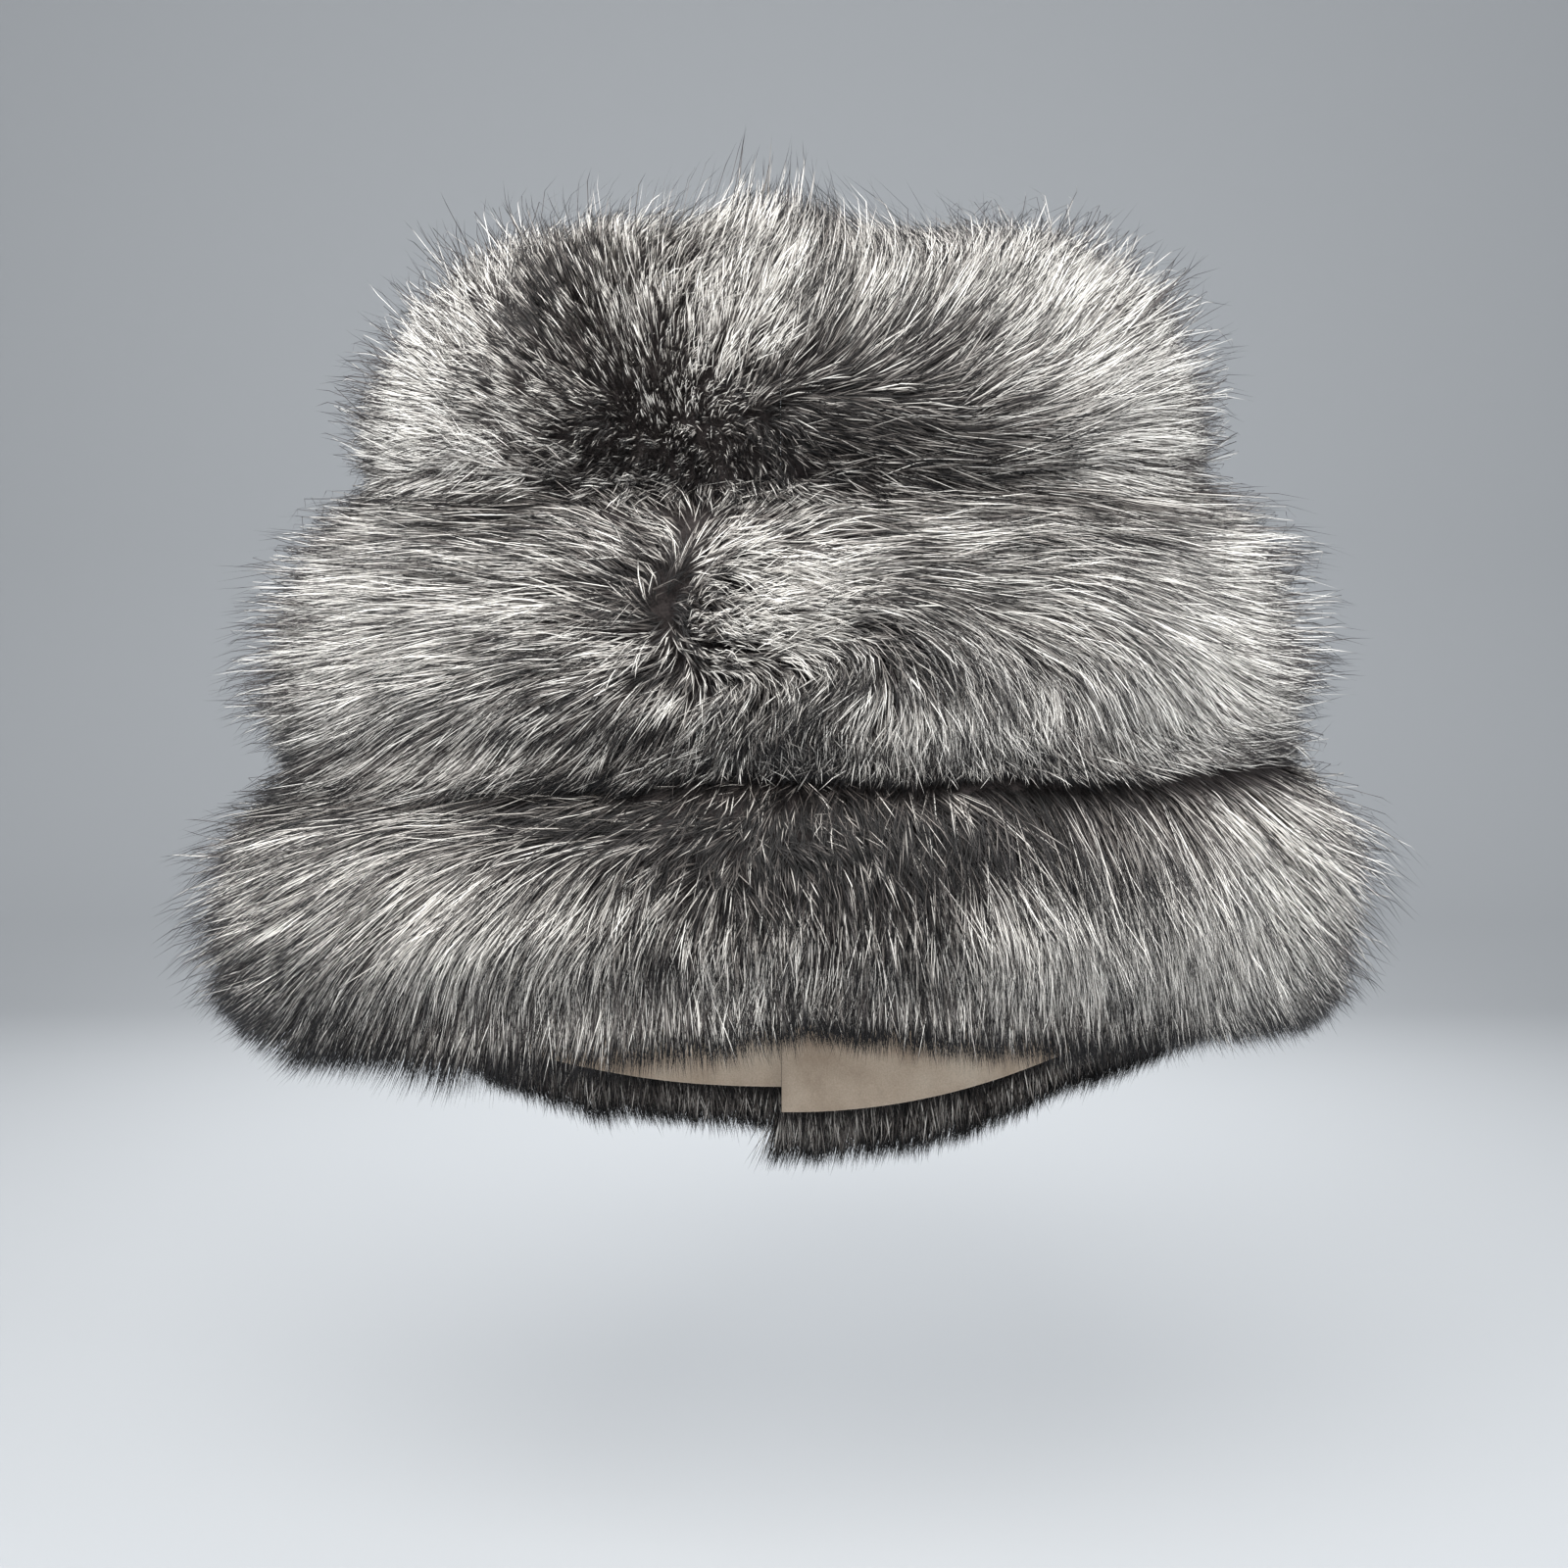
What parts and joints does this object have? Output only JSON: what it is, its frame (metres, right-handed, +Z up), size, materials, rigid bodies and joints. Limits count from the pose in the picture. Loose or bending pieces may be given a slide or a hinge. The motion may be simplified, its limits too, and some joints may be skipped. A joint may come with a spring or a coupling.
{
  "type": "fur wrap cape",
  "caption": "Elbow-length wrap cape of long-haired silver fox in horizontal rows, as worn: closed at the front, hollow inside, open at the neck and hem.",
  "frame": {"origin": "middle of the shoulder line, where the wearer's shoulders carry the cape", "axes": "+Z up; the front of the cape faces -Y; the wearer's left is +X"},
  "size_m": [0.9264, 0.5574, 0.812],
  "materials": {
    "fox_fur": "long glossy guard hair, dark at the root, silver in the middle, black at the tip",
    "fox_skin": "dressed skin side, matt suede"
  },
  "bodies": {
    "root": {"pelt_top_left": "fox_skin", "pelt_top_right": "fox_skin", "pelt_middle_left": "fox_skin", "pelt_middle_right": "fox_skin", "pelt_bottom_left": "fox_skin", "pelt_bottom_right": "fox_skin", "fur_top_left": "fox_fur", "fur_top_right": "fox_fur", "fur_middle_left": "fox_fur", "fur_middle_right": "fox_fur", "fur_bottom_left": "fox_fur", "fur_bottom_right": "fox_fur"}
  },
  "joints": []
}
